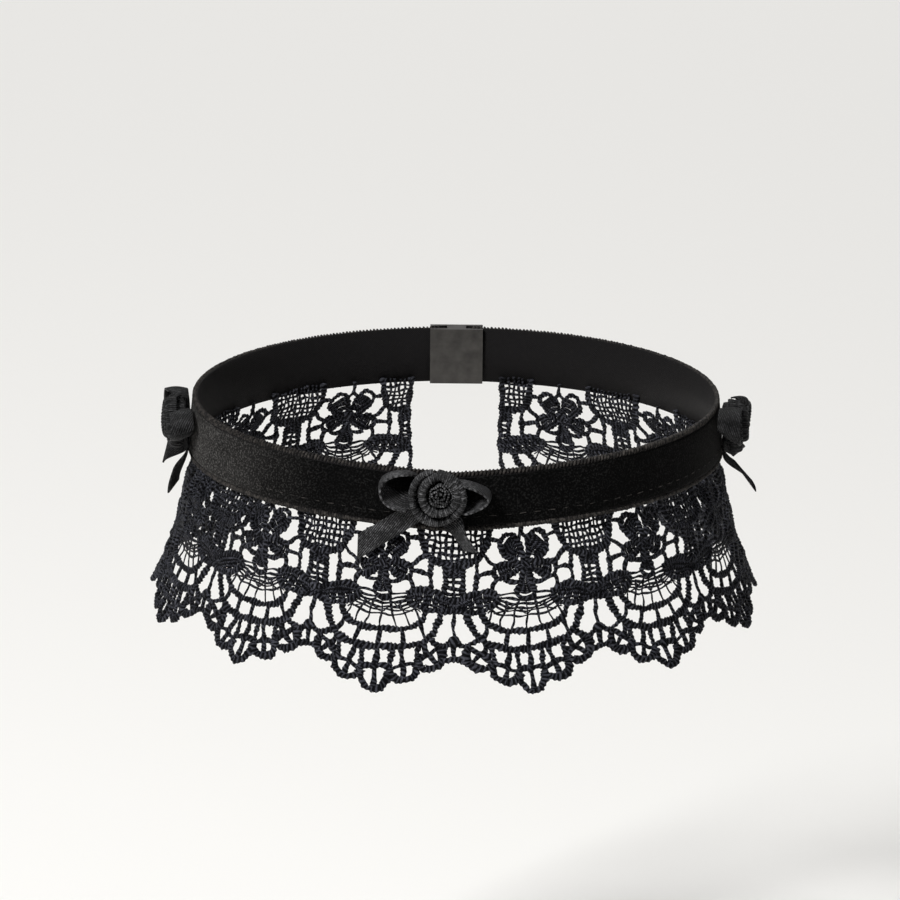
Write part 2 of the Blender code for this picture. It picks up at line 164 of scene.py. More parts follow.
class Wire:
    # an output socket of a node tree; arithmetic on it adds Math nodes
    def __init__(self, tree, socket=None):
        self.tree = tree
        self.socket = socket

    def node(self, kind, settings=None, values=None, out=0):
        made = self.tree.nodes.new(kind)
        for name, value in (settings or {}).items():
            if name == "stops":
                stops = made.color_ramp.elements
                stops[0].position, stops[0].color = value[0]
                stops[1].position, stops[1].color = value[-1]
                for place, shade in value[1:-1]:
                    stops.new(place).color = shade
            else:
                setattr(made, name, value)
        for key, value in (values or {}).items():
            if isinstance(value, Wire):
                self.tree.links.new(value.socket, made.inputs[key])
            else:
                made.inputs[key].default_value = value
        return Wire(self.tree, made.outputs[out])

    def math(self, operation, first, second=0.0):
        return self.node("ShaderNodeMath", {"operation": operation}, {0: first, 1: second})

    def split(self, vector):
        parts = self.node("ShaderNodeSeparateXYZ", values={0: vector}).socket.node.outputs
        return [Wire(self.tree, part) for part in parts]

    def store(self, geometry, name, value):
        return self.node("GeometryNodeStoreNamedAttribute", {"data_type": "FLOAT", "domain": "POINT"},
                         {"Geometry": geometry, "Name": name, "Value": value})

    def stored(self, name):
        return self.node("GeometryNodeInputNamedAttribute", {"data_type": "FLOAT"}, {"Name": name})

    def attribute(self, name):
        return self.node("ShaderNodeAttribute", {"attribute_name": name}, out="Fac")

    def objectPlace(self):
        return self.node("ShaderNodeTexCoord", out="Object")

    def wave(self, operation, run, pitch, shift):
        return self.math(operation, run * (2 * math.pi / pitch) + shift)

    def noise(self, place, scale, detail):
        return self.node(
            "ShaderNodeTexNoise", values={"Vector": place, "Scale": scale, "Detail": detail})

    def ramp(self, factor, *stops):
        greys = [(spot, (grey, grey, grey, 1)) for spot, grey in stops]
        return self.node("ShaderNodeValToRGB", {"stops": greys}, {"Fac": factor})

    def mix(self, factor, first, second):
        return self.node(
            "ShaderNodeMix", {"data_type": "RGBA"}, {0: factor, 6: first, 7: second}, out=2)

    def __add__(self, other):
        return self.math("ADD", self, other)

    def __radd__(self, other):
        return self.math("ADD", other, self)

    def __sub__(self, other):
        return self.math("SUBTRACT", self, other)

    def __rsub__(self, other):
        return self.math("SUBTRACT", other, self)

    def __mul__(self, other):
        return self.math("MULTIPLY", self, other)

    def __rmul__(self, other):
        return self.math("MULTIPLY", other, self)

    def __truediv__(self, other):
        return self.math("DIVIDE", self, other)


def newTree(name, sockets):
    tree = bpy.data.node_groups.new(name, "GeometryNodeTree")
    tree.interface.new_socket("Geometry", in_out="OUTPUT", socket_type="NodeSocketGeometry")
    for label, kind in sockets:
        tree.interface.new_socket(label, in_out="INPUT", socket_type="NodeSocket" + kind)
    entry = tree.nodes.new("NodeGroupInput")
    start = Wire(tree)
    return start, {label: Wire(tree, entry.outputs[label]) for label, _ in sockets}


def closeTree(geometry, values):
    whole = geometry.node("GeometryNodeRealizeInstances", values={"Geometry": geometry})
    smooth = geometry.node("GeometryNodeSetShadeSmooth", values={"Geometry": whole})
    dressed = geometry.node(
        "GeometryNodeSetMaterial", values={"Geometry": smooth, "Material": values["Material"]})
    end = geometry.tree.nodes.new("NodeGroupOutput")
    geometry.tree.links.new(dressed.socket, end.inputs[0])
    return geometry.tree


def cordTree():
    # lines of a flat mesh become grooved, knobbly satin cords
    make, given = newTree("satinCords", (
        ("Geometry", "Geometry"), ("Step", "Float"), ("Sides", "Int"), ("Flatness", "Float"),
        ("Groove", "Float"), ("Knob Pitch", "Float"), ("Knob Depth", "Float"), ("Twist", "Float"),
        ("Uneven", "Float"), ("Material", "Material")))
    curve = make.node("GeometryNodeMeshToCurve", values={"Mesh": given["Geometry"]})
    curve = make.node("GeometryNodeResampleCurve", {"mode": "LENGTH"},
                      {"Curve": curve, "Length": given["Step"]})
    length = make.node("GeometryNodeSplineParameter", out="Length")
    grain = make.node("ShaderNodeTexNoise", values={"Scale": 1100.0, "Detail": 1.0})
    radius = make.stored("thick") * (1 + (grain - 0.5) * given["Uneven"])
    curve = make.store(make.store(curve, "wide", radius), "along", length)
    curve = make.node("GeometryNodeSetCurveNormal", {"mode": "Z_UP"}, {"Curve": curve})
    ring = make.node("GeometryNodeCurvePrimitiveCircle", {"mode": "RADIUS"},
                     {"Resolution": given["Sides"], "Radius": 1.0})
    side, rise, _ = make.split(make.node("GeometryNodeInputPosition"))
    dent = make.math("EXPONENT", side * side * -9.0) * given["Groove"]
    shaped = rise * given["Flatness"] * (1 - dent * make.math("GREATER_THAN", rise, 0.0))
    moved = make.node("ShaderNodeCombineXYZ", values={0: side, 1: shaped, 2: 0.0})
    ring = make.store(ring, "side", side)
    ring = make.node("GeometryNodeSetPosition", values={"Geometry": ring, "Position": moved})
    mesh = make.node("GeometryNodeCurveToMesh",
                     values={"Curve": curve, "Profile Curve": ring, "Scale": radius, "Fill Caps": True})
    lean = make.stored("side") * given["Twist"]
    wraps = make.math("COSINE", make.stored("along") / given["Knob Pitch"] * (2 * math.pi) + lean)
    swell = wraps * 0.5 * given["Knob Depth"] * make.stored("wide")
    normal = make.node("GeometryNodeInputNormal")
    pushed = make.node("ShaderNodeVectorMath", {"operation": "SCALE"}, {0: normal, 3: swell})
    mesh = make.node("GeometryNodeSetPosition", values={"Geometry": mesh, "Offset": pushed})
    return closeTree(mesh, given)


def rowTree():
    # one unit repeated in a straight row, each copy a little different
    make, given = newTree("repeatedRow", (
        ("Geometry", "Geometry"), ("Count", "Int"), ("Pitch", "Float"), ("Slant", "Float"),
        ("Slant Spread", "Float"), ("Size Spread", "Float"), ("Seed", "Int"), ("Material", "Material")))
    first = (given["Count"] - 1.0) * given["Pitch"] * -0.5
    start = make.node("ShaderNodeCombineXYZ", values={0: first})
    stride = make.node("ShaderNodeCombineXYZ", values={0: given["Pitch"]})
    row = make.node("GeometryNodeMeshLine", {"mode": "OFFSET"},
                    {"Count": given["Count"], "Start Location": start, "Offset": stride})
    tilt, scale = (
        make.node("FunctionNodeRandomValue", {"data_type": "FLOAT"}, {2: low, 3: high, 8: seed}, out=1)
        for low, high, seed in (
            (given["Slant Spread"] * -1.0, given["Slant Spread"], given["Seed"]),
            (1.0 - given["Size Spread"], 1.0 + given["Size Spread"], given["Seed"] + 1.0)))
    turn = make.node("ShaderNodeCombineXYZ", values={2: tilt + given["Slant"]})
    size = make.node("ShaderNodeCombineXYZ", values={0: scale, 1: scale, 2: scale})
    copies = make.node("GeometryNodeInstanceOnPoints",
                       values={"Points": row, "Instance": given["Geometry"],
                               "Rotation": turn, "Scale": size})
    return closeTree(copies, given)


def grow(name, source, tree, settings):
    # runs a tree on a source mesh and keeps the result as a plain mesh
    holder = newObject(name + "Source", source)
    step = holder.modifiers.new("grow", "NODES")
    step.node_group = tree
    for item in tree.interface.items_tree:
        if item.in_out == "INPUT" and item.name in settings:
            step[item.identifier] = settings[item.name]
    bpy.context.view_layer.update()
    ready = holder.evaluated_get(bpy.context.evaluated_depsgraph_get())
    mesh = bpy.data.meshes.new_from_object(ready)
    bpy.data.objects.remove(holder)
    mesh.name = name
    return mesh


def addPiece(name, mesh, slot, material, *nodes):
    piece = newObject(name, mesh)
    mesh.materials.clear()
    mesh.materials.append(material)
    mesh.polygons.foreach_set("material_index", [0] * len(mesh.polygons))
    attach(piece, "root")
    if nodes:
        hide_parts(*nodes)
    print(name, sum(len(face.vertices) - 2 for face in mesh.polygons), "triangles")
    return piece


def newMaterial(name, finish):
    material = bpy.data.materials.new(name)
    material.use_nodes = True
    for socket, value in finish.items():
        material.node_tree.nodes["Principled BSDF"].inputs[socket].default_value = value
    return material, Wire(material.node_tree)


def finishMaterial(material, finish, colour, roughness, height):
    relief = {"Strength": finish["bumpStrength"], "Distance": finish["bumpDepth"], "Height": height}
    bump = height.node("ShaderNodeBump", values=relief)
    shader = material.node_tree.nodes["Principled BSDF"]
    for wire, socket in ((colour, "Base Color"), (roughness, "Roughness"), (bump, "Normal")):
        material.node_tree.links.new(wire.socket, shader.inputs[socket])
    return material


laceFinish = {
    "thread": (0.0016, 0.0017, 0.0024, 1),
    # the paler colour is a painted highlight on the thread
    "paintedHighlightAndWear": (0.090, 0.093, 0.112, 1),
    "wrapPitch": 0.0009,
    "wrapTwist": 1.6,
    "stitchPitch": 0.00034,
    "cloudScale": 620.0,
    "grainScale": 2600.0,
    "bumpStrength": 0.9,
    "bumpDepth": 0.00012,
}


def makeLaceMaterial():
    # the thread is black between the wraps; a painted highlight lightens its colour on the wraps and in
    # noise blotches
    finish = laceFinish
    material, make = newMaterial("blackSatinThread", {"Specular IOR Level": 0.06})
    place = make.objectPlace()
    cloud = make.noise(place, finish["cloudScale"], 3.0)
    grain = make.noise(place, finish["grainScale"], 2.0)
    along = make.attribute("along")
    lean = make.attribute("side") * finish["wrapTwist"]
    wraps = make.wave("COSINE", along, finish["wrapPitch"], lean)
    # crest: where the painted highlight lies, on wrap tops and in noise blotches
    crest = make.ramp(wraps * 0.22 + cloud * 0.75 + grain * 0.25, (0.48, 0), (1.0, 1))
    stitches = make.wave("SINE", along, finish["stitchPitch"], grain * 2.5)
    colour = make.mix(crest, finish["thread"], finish["paintedHighlightAndWear"])
    return finishMaterial(material, finish, colour, 0.30 + cloud * 0.25, stitches * 0.5 + grain * 1.4)


velvetFinish = {
    "pile": (0.0007, 0.0007, 0.0007, 1),
    "litPile": (0.017, 0.0168, 0.0165, 1),
    # painted sheen: the next colour lies on the pile towards the wearer's right, over the span of run
    # set further down
    "paintedSheenPile": (0.104, 0.100, 0.096, 1),
    "backing": (0.0060, 0.0056, 0.0060, 1),
    "litBacking": (0.017, 0.016, 0.016, 1),
    "paintedSheenSpan": ((0.28, 0), (0.42, 0.35), (0.58, 0.85), (0.85, 1), (0.98, 0)),
    "weavePitch": 0.00045,
    "pileScale": 2600.0,
    "cloudScale": 120.0,
    "bumpStrength": 0.9,
    "bumpDepth": 0.00016,
}


def makeVelvetMaterial():
    # pile on the face, plain weave on the back; the band's mesh says which is which, and a painted
    # sheen makes the pile paler towards the wearer's right, where the key light grazes it
    finish = velvetFinish
    material, make = newMaterial("blackVelvetPile", {
        "Specular IOR Level": 0.05, "Sheen Weight": 0.07, "Sheen Roughness": 0.34,
        "Sheen Tint": (0.60, 0.58, 0.56, 1)})
    place = make.objectPlace()
    pile = make.noise(place, finish["pileScale"], 2.0)
    cloud = make.noise(place, finish["cloudScale"], 2.0)
    lit = make.ramp(pile, (0.50, 0), (0.68, 1))
    isPile = make.attribute("pile")
    run = make.attribute("run")
    turns = 2 * math.pi / finish["weavePitch"]
    weave = make.math("SINE", run * turns) * make.math("SINE", make.attribute("level") * turns)
    # painted sheen: a ramp on run lays a paler pile towards the wearer's right
    paintedSheen = make.ramp(run * -9.0, *finish["paintedSheenSpan"])
    face = make.mix(lit * cloud, finish["pile"], finish["litPile"])
    face = make.mix(paintedSheen * (lit * 0.75 + cloud * 0.3), face, finish["paintedSheenPile"])
    back = make.mix(weave * 0.5 + pile * 0.5, finish["backing"], finish["litBacking"])
    height = isPile * (pile + cloud * 0.6) + (1 - isPile) * (weave * 0.4 + pile * 0.3)
    roughness = 0.62 + isPile * 0.2 + pile * 0.18
    return finishMaterial(material, finish, make.mix(isPile, back, face), roughness, height)


selvedgeFinish = {
    "thread": (0.008, 0.0074, 0.0072, 1),
    "paintedHighlightAndWear": (0.056, 0.050, 0.045, 1),
    "grainScale": 1300.0,
    "bumpStrength": 0.8,
    "bumpDepth": 0.0001,
}


def makeSelvedgeMaterial():
    finish = selvedgeFinish
    material, make = newMaterial("wovenSelvedge", {
        "Specular IOR Level": 0.12, "Sheen Weight": 0.04, "Sheen Roughness": 0.4})
    grain = make.noise(make.objectPlace(), finish["grainScale"], 3.0)
    # grain noise mixes in the paler colour: random tone, partly a painted highlight on the threads
    colour = make.mix(make.ramp(grain, (0.42, 0), (0.70, 1)), finish["thread"], finish["paintedHighlightAndWear"])
    return finishMaterial(material, finish, colour, 0.5 + grain * 0.4, grain)


ribbonFinish = {
    "thread": (0.0022, 0.0022, 0.0024, 1),
    "lit": (0.30, 0.30, 0.31, 1),
    "ribPitch": 0.00050,
    "threadPitch": 0.00022,
    "grainScale": 2100.0,
    "cloudScale": 300.0,
    "bumpStrength": 1.0,
    "bumpDepth": 0.00014,
}


def makeRibbonMaterial():
    # grosgrain: ribs cross the ribbon, whose UV map runs along it in metres; the lit colour is a
    # painted highlight on the ribs, weaker on the bows at the sides, which turn from the light
    finish = ribbonFinish
    material, make = newMaterial("blackGrosgrain", {
        "Specular IOR Level": 0.09, "Sheen Weight": 0.02, "Sheen Roughness": 0.35})
    along, wide, _ = make.split(make.node("ShaderNodeUVMap", {"uv_map": "ribbonRun"}))
    place = make.objectPlace()
    grain = make.noise(place, finish["grainScale"], 2.0)
    cloud = make.noise(place, finish["cloudScale"], 2.0)
    ribs = make.wave("SINE", along, finish["ribPitch"], grain * 1.2)
    threads = make.wave("SINE", wide, finish["threadPitch"], grain * 2.0)
    bright = make.ramp(grain * 0.55 + cloud * 0.45, (0.46, 0), (0.78, 1))
    # painted shade: on the bows at the sides of the band the painted highlight is weakened
    aside = make.math("ABSOLUTE", make.split(place)[0] * 10.0)
    lit = (ribs * 0.42 + 0.58) * (bright * 0.88 + 0.12) * make.ramp(aside, (0.35, 1), (0.55, 0.4))
    colour = make.mix(lit, finish["thread"], finish["lit"])
    height = ribs + threads * 0.35 + grain * 1.2
    return finishMaterial(material, finish, colour, 0.34 + cloud * 0.25, height)


claspFinish = {
    "metal": (0.035, 0.034, 0.033, 1),
    "paintedHighlightAndWear": (0.10, 0.095, 0.09, 1),
    "brushScale": (60.0, 60.0, 2600.0),
    "spotScale": 420.0,
    "bumpStrength": 0.25,
    "bumpDepth": 0.00003,
}


def makeClaspMaterial():
    finish = claspFinish
    material, make = newMaterial("brushedDarkMetal", {"Metallic": 1.0})
    place = make.objectPlace()
    drawn = make.node("ShaderNodeMapping", values={"Vector": place, "Scale": finish["brushScale"]})
    brush = make.noise(drawn, 1.0, 3.0)
    spots = make.noise(place, finish["spotScale"], 3.0)
    colour = make.mix(spots, finish["metal"], finish["paintedHighlightAndWear"])
    return finishMaterial(material, finish, colour, 0.28 + brush * 0.25, brush)


laceMaterial = makeLaceMaterial()
velvetMaterial = makeVelvetMaterial()
selvedgeMaterial = makeSelvedgeMaterial()
ribbonMaterial = makeRibbonMaterial()
claspMaterial = makeClaspMaterial()
cords = cordTree()
rows = rowTree()
print("materials and trees ready")


# Camera
shot = {
    "middle": Vector((0, 0, collar["bandHeight"] / 2)),
    "distance": 1.5,
    "elevation": math.radians(14.3),
    "roll": math.radians(0.5),
    "lens": 272.7,
    "sensor": 36,
    "nearest": 0.05,
    "farthest": 30,
    "aside": -1.21 * mm,
    "above": -12.9 * mm,
}


def makeCamera():
    data = bpy.data.cameras.new("photoCamera")
    data.lens, data.sensor_width = shot["lens"], shot["sensor"]
    data.clip_start, data.clip_end = shot["nearest"], shot["farthest"]
    camera = newObject("photoCamera", data)
    lift = shot["elevation"]
    place = shot["middle"] + shot["distance"] * Vector((0, -math.cos(lift), math.sin(lift)))
    upward = Vector((0, math.sin(lift), math.cos(lift)))
    target = shot["middle"] + Vector((shot["aside"], 0, 0)) + upward * shot["above"]
    aim(camera, place, target, shot["roll"])
    bpy.context.scene.camera = camera


makeCamera()


# Lace: half a repeat charted in millimetres, across from the middle of a shell (or of a
# net cup where "cup" is given) and down from the band's foot; each line has its half width
lace = {
    "repeats": 12,
    "repeatWidth": 29.3,
    "cordGain": 1.42,
    "barGain": 1.58,
    "warpBroad": 0.55,
    "warpFine": 0.16,
    "warpDepth": 0.18,
    "laceMiddle": -0.35,
    "endThick": 0.50,
    "knotLift": 0.1,
    "knotDepth": 0.55,
    "knotGrain": 0.07,
    "knotGrainDepth": 0.08,
}
netting = {
    "columns": 5,
    "rows": 6,
    "acrossPitch": 1.18,
    "downPitch": 1.22,
    "columnThick": 0.19,
    "rowThick": 0.21,
    "strayThick": 0.14,
    "gain": 1.35,
}
half = lace["repeatWidth"] / 2

upperCords = {
    "cupEdge": (0.43, "shell", (
        (7.3, -1.6), (7.35, 0.2), (7.65, 1.8), (8.1, 3.4), (8.8, 5.0), (10.1, 6.4), (12.0, 7.1),
        (14.65, 7.35))),
    "upperPetal": (0.38, "closed", (
        (0.55, 6.6), (0.6, 4.8), (1.0, 2.9), (2.0, 1.6), (3.4, 1.2), (4.7, 1.8), (5.2, 3.2),
        (4.7, 4.9), (3.5, 6.2), (1.9, 7.0))),
    "sidePetal": (0.40, "closed", (
        (1.0, 8.3), (2.6, 7.5), (4.4, 7.4), (5.8, 8.0), (6.4, 9.1), (5.9, 10.2), (4.6, 10.7),
        (3.2, 10.1), (1.9, 9.2))),
    "bottomPetal": (0.39, "shell", (
        (0, 8.3), (0.55, 9.2), (0.8, 10.5), (1.2, 11.8), (1.7, 13.1), (1.6, 14.2), (0.9, 14.9),
        (0, 15.1))),
    "ladderSide": (0.42, "cup", ((1.75, 7.5), (1.85, 9.2), (1.75, 11.0), (1.9, 12.6), (2.0, 13.5))),
    "starPost": (0.36, "shell", ((9.9, 6.4), (10.1, 8.2), (9.9, 9.7), (10.0, 11.4), (9.8, 13.2))),
}
lowerCords = {
    "leafTop": (0.46, "cup", (
        (0, 15.1), (1.5, 14.4), (3.5, 13.5), (6.0, 13.0), (8.0, 13.2), (9.5, 14.2))),
    "leafFoot": (0.44, "cup", (
        (9.5, 14.3), (8.6, 15.7), (6.8, 16.7), (4.5, 17.2), (2.2, 17.3), (0, 17.0))),
    "innerArc": (0.45, "shell", (
        (8.9, 16.7), (8.3, 18.5), (7.0, 20.1), (4.9, 21.2), (2.4, 21.7), (0, 21.8))),
    "outerArc": (0.54, "shell", (
        (12.0, 16.9), (11.4, 19.2), (10.4, 21.4), (9.2, 23.0), (7.3, 24.3), (4.0, 25.3),
        (0, 25.6))),
    "gapCord": (0.42, "shell", ((13.9, 23.9), (12.6, 24.6), (11.2, 24.2), (9.8, 23.2))),
    "latticeFoot": (0.46, "shell", ((14.65, 27.2), (13.3, 27.5), (12.2, 27.8))),
    "outerScallop": (0.50, "shell", (
        (11.7, 24.6), (12.5, 25.9), (12.4, 27.6), (11.4, 29.0), (10.0, 29.6), (8.6, 29.4), (7.4, 28.2))),
    "scallopPost": (0.42, "shell", ((7.8, 24.4), (7.3, 26.4), (7.5, 28.8))),
    "secondScallop": (0.52, "shell", (
        (7.3, 28.5), (7.8, 30.1), (7.4, 31.4), (6.3, 32.3), (4.9, 32.6), (3.5, 32.0),
        (2.4, 30.6))),
    "tipScallop": (0.50, "shell", ((2.4, 30.6), (2.5, 32.3), (1.6, 33.8), (0.5, 34.5), (0, 34.7))),
    "secondPost": (0.38, "shell", ((2.6, 25.5), (2.6, 28.5), (2.5, 31.2))),
}
bars = {
    "cupLining": (0.20, "shell", (
        (7.95, -1.6), (8.0, 0.2), (8.25, 1.65), (8.7, 3.15), (9.35, 4.65), (10.45, 5.8), (12.2, 6.55),
        (14.65, 6.8))),
    "topFork": (0.28, "shell", ((0, 0.9), (0.5, 1.6), (1.1, 2.3))),
    "topStem": (0.30, "middle", ((0, -1.4), (0, 1.0))),
    "petalBar": (0.30, "shell", ((4.6, 2.7), (6.1, 2.3), (7.5, 2.2))),
    "cupBar": (0.32, "shell", ((5.7, 8.1), (7.3, 7.0), (9.0, 5.3))),
    "starSide": (0.32, "shell", ((9.9, 9.7), (8.3, 9.4), (6.3, 9.2))),
    "petalFoot": (0.34, "shell", ((1.3, 11.3), (2.7, 11.4), (4.2, 11.0))),
    "leafBar": (0.32, "shell", ((5.6, 10.4), (6.3, 11.7), (6.4, 13.4))),
    "outerBar": (0.28, "shell", ((7.5, 19.8), (8.0, 21.2), (8.6, 22.8))),
    "innerBar": (0.28, "shell", ((4.1, 21.4), (4.3, 23.2), (4.6, 25.0))),
    "middleBar": (0.28, "middle", ((0, 21.8), (0, 25.5))),
    "gapBar": (0.27, "edge", ((14.65, 17.1), (14.65, 22.6))),
    "latticeBar": (0.36, "edge", ((14.65, 24.2), (14.65, 27.2))),
    "tipPost": (0.36, "middle", ((0, 25.6), (0, 29.8), (0, 34.2))),
    "crossBar": (0.40, "shell", ((0, 29.6), (1.3, 29.5), (2.6, 29.9))),
    "spokeUp": (0.36, "shell", ((4.1, 25.3), (4.5, 27.4), (4.8, 29.2))),
    "spokeOut": (0.34, "shell", ((4.8, 29.2), (6.2, 28.8), (7.4, 28.8))),
    "spokeDown": (0.30, "shell", ((4.8, 29.2), (5.3, 30.6), (5.4, 32.0))),
    "spokeIn": (0.30, "shell", ((4.8, 29.3), (3.6, 29.9), (2.5, 30.2))),
    "fanUp": (0.34, "shell", ((9.4, 26.4), (10.6, 25.6), (11.6, 24.9))),
    "fanIn": (0.36, "shell", ((9.4, 26.4), (8.7, 25.4), (8.4, 24.1))),
    "fanDown": (0.34, "shell", ((9.4, 26.4), (10.6, 27.4), (11.6, 28.2))),
    "fanFoot": (0.38, "shell", ((9.4, 26.4), (8.6, 27.4), (7.6, 28.0))),
    "fanLeft": (0.34, "shell", ((9.4, 26.4), (8.4, 26.7), (7.4, 26.5))),
    "outerLining": (0.22, "shell", (
        (11.4, 25.4), (11.9, 26.6), (11.6, 27.9), (10.5, 28.8), (9.2, 28.8))),
    "secondLining": (0.22, "shell", ((7.2, 29.8), (7.0, 31.0), (6.0, 31.8), (4.8, 32.0), (3.7, 31.4))),
    "tipLining": (0.18, "shell", ((2.1, 31.0), (2.0, 32.3), (1.1, 33.5))),
    "ladderPost": (0.24, "edge", ((14.65, 7.5), (14.65, 15.0))),
    "leafVein": (0.26, "cup", ((0, 16.1), (3.0, 15.4), (6.0, 14.8), (9.2, 14.4))),
    "leafThread": (0.17, "cup", ((0, 16.6), (3.0, 16.4), (6.0, 15.9), (8.9, 15.1))),
}
rungs = {
    "downs": (8.1, 8.8, 9.5, 10.8, 12.1, 13.3, 14.3),
    "reach": 1.8,
    "sag": 0.15,
    "thick": 0.42,
}
webs = {
    "tipLine": (0.27, "shell", ((5.7, 14.1), (4.2, 13.8), (1.7, 14.0))),
    "petalLine": (0.30, "shell", ((5.8, 14.5), (3.9, 14.8), (1.8, 15.1), (0, 15.6))),
    "firstWeb": (0.32, "shell", ((5.9, 14.7), (4.6, 15.4), (2.6, 16.0), (0, 16.2))),
    "secondWeb": (0.28, "shell", ((6.2, 15.2), (4.9, 16.1), (2.8, 16.9), (0, 17.1))),
    "thirdWeb": (0.22, "shell", ((6.6, 15.6), (5.1, 16.8), (2.9, 17.5), (0, 17.7))),
    "lastWeb": (0.24, "shell", ((7.2, 16.2), (5.6, 17.6), (3.0, 18.5), (0, 18.7))),
    "inwardStray": (0.17, "shell", ((5.6, 14.3), (3.5, 16.3), (1.3, 17.3), (0, 18.3))),
    "outwardStray": (0.17, "shell", ((1.2, 15.1), (3.4, 16.9), (6.2, 17.6))),
    "shortStray": (0.17, "shell", ((4.6, 14.3), (5.6, 16.2), (7.6, 17.6))),
    "innerSpoke": (0.24, "shell", ((1.6, 15.4), (2.4, 18.5), (3.1, 21.4))),
    "outerSpoke": (0.24, "shell", ((3.6, 15.4), (4.6, 18.2), (5.6, 20.8))),
    "leafSpoke": (0.24, "shell", ((5.6, 15.2), (6.6, 17.3), (7.6, 19.4))),
    "middleSpoke": (0.20, "middle", ((0, 15.2), (0, 18.4), (0, 21.8))),
}
knots = {
    "star": (9.95, 9.7, 0.75, 0.85),
    "outerFan": (9.4, 26.4, 0.78, 0.75),
    "secondFan": (4.8, 29.2, 0.75, 0.78),
    "middle": (0, 7.5, 1.15, 0.90),
    "tip": (0, 29.8, 1.0, 0.85),
    "top": (0, 0.9, 0.5, 0.5),
    "gap": (14.65, 23.6, 1.15, 1.25),
}


def smoothLine(points, step, closed=False):
    # Catmull-Rom line through given points, square to a mirror line where it ends on one
    points = [np.array(point, float) for point in points]
    if closed:
        ring = [points[-1]] + points + points[:2]
    else:
        ends = []
        for tip, near in ((points[0], points[1]), (points[-1], points[-2])):
            mirrored = tip[0] in (0, half) and near[0] != tip[0]
            ends.append(np.array([2 * tip[0] - near[0], near[1]]) if mirrored else 2 * tip - near)
        ring = [ends[0]] + points + [ends[1]]
    line = []
    for before, start, end, after in zip(ring, ring[1:], ring[2:], ring[3:]):
        count = max(2, int(round(np.linalg.norm(end - start) / step)))
        for share in np.arange(count) / count:
            line.append(0.5 * (
                2 * start + (end - before) * share
                + (2 * before - 5 * start + 4 * end - after) * share ** 2
                + (3 * start - before - 3 * end + after) * share ** 3))
    if not closed:
        line.append(points[-1])
    return np.array(line)


class FlatLines:
    # lines of one repeat, laid flat, with a half width at each point
    def __init__(self):
        self.points, self.edges, self.thick = [], [], []

    def add(self, line, thick, height=0.0, closed=False):
        line = np.asarray(line, float)
        first = len(self.points)
        count = len(line)
        heights = line[:, 2] if line.shape[1] > 2 else np.full(count, height)
        self.points += [(x * mm, -down * mm, (rise + lace["laceMiddle"]) * mm)
                        for x, down, rise in zip(line[:, 0], line[:, 1], heights)]
        self.thick += list(np.broadcast_to(thick, count) * mm)
        self.edges += [(first + step, first + step + 1) for step in range(count - 1)]
        if closed:
            self.edges.append((first + count - 1, first))

    def addBoth(self, line, *rest, **more):
        line = np.asarray(line, float)
        self.add(line, *rest, **more)
        self.add(line * ([-1, 1, 1][:line.shape[1]]), *rest, **more)

    def mesh(self, name):
        made = meshFrom(name, self.points, [], self.edges)
        addAttribute(made, "thick", self.thick)
        return made


def fromCup(points):
    return [(half - across, down) for across, down in points]


def chartLines(lines, chart, gain, height=0.0):
    for thick, measured, points in chart.values():
        thick *= gain
        if measured == "cup":
            points = fromCup(points)
        line = smoothLine(points, 0.45, measured == "closed")
        if measured in ("middle", "edge"):
            lines.add(line, thick, height)
        elif measured != "closed" and points[0][0] == points[-1][0] == 0:
            lines.add(np.vstack([line, (line * [-1, 1])[::-1][1:-1]]), thick, height, closed=True)
        else:
            lines.addBoth(line, thick, height, closed=measured == "closed")


pads = {
    # satin padding of a petal, from its foot at the middle knot for a share of the way to its tip
    "upperPetal": {"foot": (0.7, 6.2), "tip": (4.1, 1.7), "share": 0.72},
    "sidePetal": {"foot": (1.2, 8.4), "tip": (6.2, 9.4), "share": 0.76},
}
stitch = {
    "pitch": 0.46,
    "thick": 0.27,
    "slant": 0.15,
    "bow": 0.70,
    "lift": 0.24,
    "sink": -0.28,
    "uneven": 0.12,
    "upperLeafPitch": 0.048,
    "upperLeafThick": 0.30,
    "lowerLeafPitch": 0.058,
    "lowerLeafThick": 0.29,
}


def padLines(lines, name):
    # stitches that cross the petal from edge to edge, bowed towards its tip and arched
    outline = smoothLine(upperCords[name][2], 0.25, closed=True)
    foot, tip = np.array(pads[name]["foot"]), np.array(pads[name]["tip"])
    length = np.linalg.norm(tip - foot)
    axis = (tip - foot) / length
    side = np.array([-axis[1], axis[0]])
    runs, spans = (outline - foot) @ axis, (outline - foot) @ side
    edges = []
    for sign in (1, -1):
        chosen = spans * sign > 0
        order = np.argsort(runs[chosen])
        edges.append((runs[chosen][order], spans[chosen][order]))
    shares = np.linspace(0, 1, 5)
    arch = np.sin(shares * math.pi)
    for run in np.arange(0.2, length * pads[name]["share"], stitch["pitch"]):
        start = foot + axis * (run - stitch["slant"]) + side * np.interp(run, *edges[0])
        end = foot + axis * (run + stitch["slant"]) + side * np.interp(run, *edges[1])
        flat = start + (end - start) * shares[:, None] + axis * (stitch["bow"] * arch)[:, None]
        rise = stitch["lift"] * arch + stitch["sink"] + stitch["uneven"] * math.sin(run * 9)
        lines.addBoth(np.column_stack([flat, rise]), stitch["thick"])


def bottomPad(lines):
    # the bottom petal is padded from its middle line out, with a slit left open near its end
    petal = smoothLine(upperCords["bottomPetal"][2], 0.2)
    for row in np.arange(8.9, 14.8, stitch["pitch"]):
        if 13.7 < row < 14.2:
            continue
        reach = float(np.interp(row, petal[:, 1], petal[:, 0]))
        lines.addBoth([(reach, row - 0.2, stitch["sink"]), (reach / 2, row + 0.1, stitch["lift"] - 0.1),
                       (0.02, row + 0.3, stitch["lift"] - 0.05)], stitch["thick"])


def cupHalf(down):
    # half width of the net cup inside its lining
    line = smoothLine(bars["cupLining"][2], 0.3)
    return half - np.interp(down, line[:, 1], line[:, 0])


